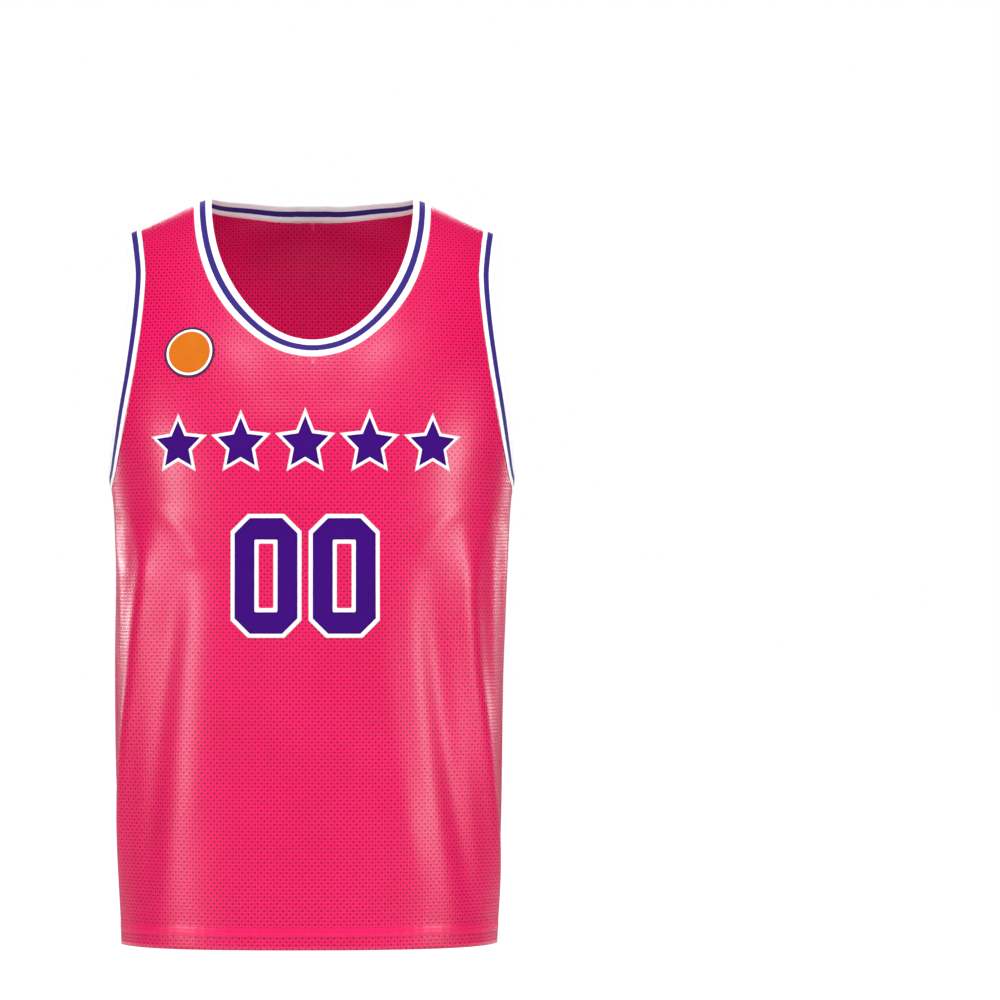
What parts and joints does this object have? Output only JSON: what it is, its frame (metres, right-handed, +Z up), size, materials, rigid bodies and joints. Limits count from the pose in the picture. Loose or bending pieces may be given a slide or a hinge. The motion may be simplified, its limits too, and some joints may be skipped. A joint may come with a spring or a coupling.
{
  "type": "basketball jersey",
  "caption": "Sleeveless basketball jersey in perforated knit, filled out as worn, open at neck, arms and hem, with striped knitted bands, zero numerals and plain stars.",
  "frame": {"origin": "between the wearer's shoulders, at the height of the middle of the shoulder seams, where the wearer holds the garment up", "axes": "+Z up, the front faces -Y, +X to the wearer's left"},
  "size_m": [0.4041, 0.2364, 0.7421],
  "materials": {
    "mesh_knit": "satin perforated polyester knit",
    "striped_knit": "fine ribbed knit, white with a violet stripe",
    "white_twill": "matt twill",
    "violet_twill": "matt twill",
    "patch_twill": "matt twill"
  },
  "bodies": {
    "root": {"front_panel": "mesh_knit", "back_panel": "mesh_knit", "neck_band": "striped_knit", "armhole_band_right": "striped_knit", "armhole_band_left": "striped_knit", "front_numeral_right_white": "white_twill", "front_numeral_right_violet": "violet_twill", "front_numeral_left_white": "white_twill", "front_numeral_left_violet": "violet_twill", "back_numeral_right_white": "white_twill", "back_numeral_right_violet": "violet_twill", "back_numeral_left_white": "white_twill", "back_numeral_left_violet": "violet_twill", "front_star_1_white": "white_twill", "front_star_1_violet": "violet_twill", "front_star_2_white": "white_twill", "front_star_2_violet": "violet_twill", "front_star_3_white": "white_twill", "front_star_3_violet": "violet_twill", "front_star_4_white": "white_twill", "front_star_4_violet": "violet_twill", "front_star_5_white": "white_twill", "front_star_5_violet": "violet_twill", "back_star_1_white": "white_twill", "back_star_2_white": "white_twill", "back_star_3_white": "white_twill", "back_star_4_white": "white_twill", "back_star_5_white": "white_twill", "chest_patch": "patch_twill"}
  },
  "joints": []
}
